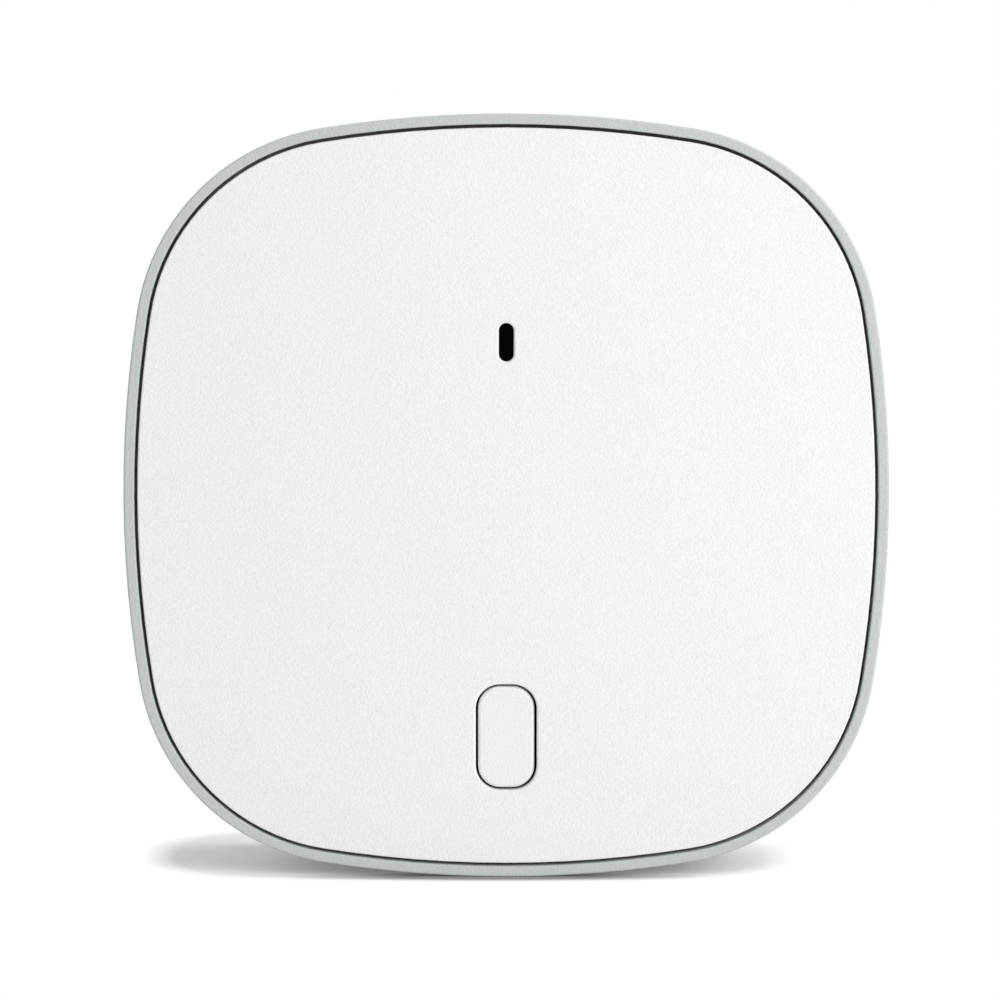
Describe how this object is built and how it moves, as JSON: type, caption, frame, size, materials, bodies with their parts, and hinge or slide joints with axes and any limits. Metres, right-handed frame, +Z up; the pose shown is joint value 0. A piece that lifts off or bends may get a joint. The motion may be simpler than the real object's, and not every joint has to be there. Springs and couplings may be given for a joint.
{
  "type": "smart garage controller",
  "caption": "Rounded-square white-faced hub in a grey tub, with an indicator slot, an upright push button, a bottom power inlet, a rear sounder grille and a slide-on wall bracket.",
  "frame": {"origin": "on the standing surface, under the middle of the hub's own outline and half of its depth", "axes": "+Z up, +Y towards the wall behind the hub, so the white face looks along -Y; +X to the right as the face is seen"},
  "size_m": [0.098, 0.0284, 0.098],
  "materials": {
    "housing_plastic": "fine spark-eroded grain, cool light grey",
    "panel_plastic": "fine matte grain, white",
    "button_plastic": "smooth satin, white",
    "gasket_rubber": "matte dark grey",
    "seal_foam": "black closed-cell foam",
    "smoked_plastic": "dark smoked, moulded smooth",
    "screw_steel": "zinc plated",
    "bracket_plastic": "fine grain, grey",
    "label_film": "satin film, blank",
    "dust_mesh": "woven black mesh",
    "board_laminate": "green solder mask",
    "can_metal": "bright tinned sheet",
    "lead_metal": "tinned",
    "chip_black": "matte moulded",
    "connector_steel": "nickel plated",
    "connector_plastic": "black, moulded",
    "brass_sheet": "bright rolled",
    "white_ceramic": "fired, matte",
    "capacitor_can": "brushed",
    "resistor_body": "glazed black top",
    "capacitor_body": "fired tan",
    "led_body": "white moulded",
    "led_gel": "clear yellow gel"
  },
  "bodies": {
    "hub": {"rear_housing": "housing_plastic", "front_panel": "panel_plastic", "panel_gasket": "gasket_rubber", "light_pipe": "smoked_plastic", "case_screws": "screw_steel", "rating_label": "label_film", "grille_mesh": "dust_mesh", "main_board": "board_laminate", "wifi_module_board": "board_laminate", "wifi_chip": "chip_black", "wifi_shield_can": "can_metal", "radio_chip": "chip_black", "radio_shield_can": "can_metal", "radio_antenna": "lead_metal", "processor_chip": "chip_black", "memory_chip": "chip_black", "memory_chip_leads": "lead_metal", "crystal": "can_metal", "regulator_chip": "chip_black", "power_inductor": "chip_black", "electrolytic_capacitors": "capacitor_can", "chip_resistors": "resistor_body", "chip_capacitors": "capacitor_body", "usb_shell": "connector_steel", "usb_tongue": "connector_plastic", "switch_body": "connector_plastic", "switch_cover": "can_metal", "switch_legs": "lead_metal", "sounder_case": "connector_plastic", "sounder_disc": "brass_sheet", "sounder_ceramic": "white_ceramic", "sounder_pins": "lead_metal", "led_package": "led_body", "led_lens": "led_gel", "header_block": "connector_plastic", "header_pins": "lead_metal"},
    "button": {"front_button": "button_plastic", "button_seal": "seal_foam"},
    "plunger": {"switch_plunger": "connector_plastic"},
    "bracket": {"wall_bracket": "bracket_plastic"}
  },
  "joints": [
    {"name": "button_press", "type": "slide", "parent": "hub", "child": "button", "axis": [0, 1, 0], "range_m": [0, 0.00035], "stiffness_N_per_m": 1500, "springref_m": -0.0008},
    {"name": "switch_plunger_press", "type": "slide", "parent": "hub", "child": "plunger", "axis": [0, 1, 0], "range_m": [0, 0.00035]},
    {"name": "bracket_slide", "type": "slide", "parent": "hub", "child": "bracket", "axis": [0, 0, -1], "range_m": [0, 0.01]}
  ],
  "couplings": [
    {"joint": "switch_plunger_press", "follows": "button_press", "ratio": 1}
  ]
}
